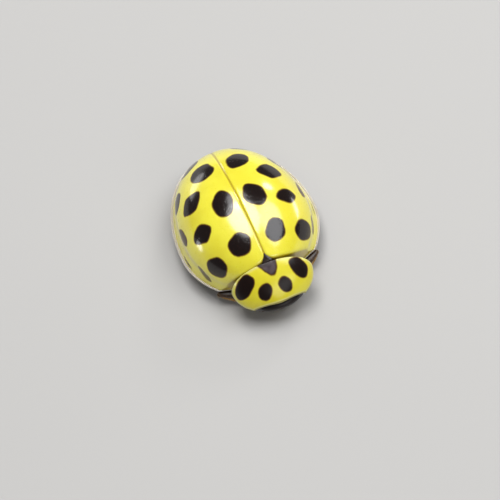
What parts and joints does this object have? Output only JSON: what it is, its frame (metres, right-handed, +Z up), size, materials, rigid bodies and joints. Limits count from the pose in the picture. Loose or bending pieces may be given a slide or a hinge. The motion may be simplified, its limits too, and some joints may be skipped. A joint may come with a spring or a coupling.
{
  "type": "twenty-two-spot ladybird beetle",
  "caption": "Small yellow ladybird with black spots, standing still: domed wing cases, spotted pronotum, bent-down head, short clubbed antennae and drawn-in legs.",
  "frame": {"origin": "middle of the bounding box, on the plane its feet stand on", "axes": "+Z up, the head towards -Y, and the animal's own left side at +X"},
  "size_m": [0.0032, 0.0041, 0.0017],
  "materials": {
    "elytron": "glossy lemon-yellow chitin with near-black spots",
    "pronotum": "glossy yellow chitin with near-black spots and a paler edge",
    "scutellum": "glossy near-black chitin",
    "head": "glossy chitin, black above and yellowish on the face",
    "eye": "glossy black compound eye",
    "mouthparts": "smooth horn-coloured chitin",
    "antenna": "smooth brown chitin, swollen into a club at the tip",
    "leg": "brown to yellow-brown, finely hairy chitin",
    "belly": "dark brown, finely pitted chitin, paler at the sides"
  },
  "bodies": {
    "root": {"elytron_left": "elytron", "elytron_right": "elytron", "scutellum": "scutellum", "pronotum": "pronotum", "head": "head", "eye_left": "eye", "eye_right": "eye", "labrum": "mouthparts", "mandible_left": "mouthparts", "mandible_right": "mouthparts", "palp_left": "mouthparts", "palp_right": "mouthparts", "antenna_left": "antenna", "antenna_right": "antenna", "prosternum": "belly", "thorax": "belly", "abdomen": "belly", "coxa_front_left": "leg", "coxa_front_right": "leg", "coxa_middle_left": "leg", "coxa_middle_right": "leg", "coxa_hind_left": "leg", "coxa_hind_right": "leg", "femur_front_left": "leg", "femur_front_right": "leg", "femur_middle_left": "leg", "femur_middle_right": "leg", "femur_hind_left": "leg", "femur_hind_right": "leg", "tibia_front_left": "leg", "tibia_front_right": "leg", "tibia_middle_left": "leg", "tibia_middle_right": "leg", "tibia_hind_left": "leg", "tibia_hind_right": "leg", "tarsus_front_left": "leg", "tarsus_front_right": "leg", "tarsus_middle_left": "leg", "tarsus_middle_right": "leg", "tarsus_hind_left": "leg", "tarsus_hind_right": "leg"}
  },
  "joints": []
}
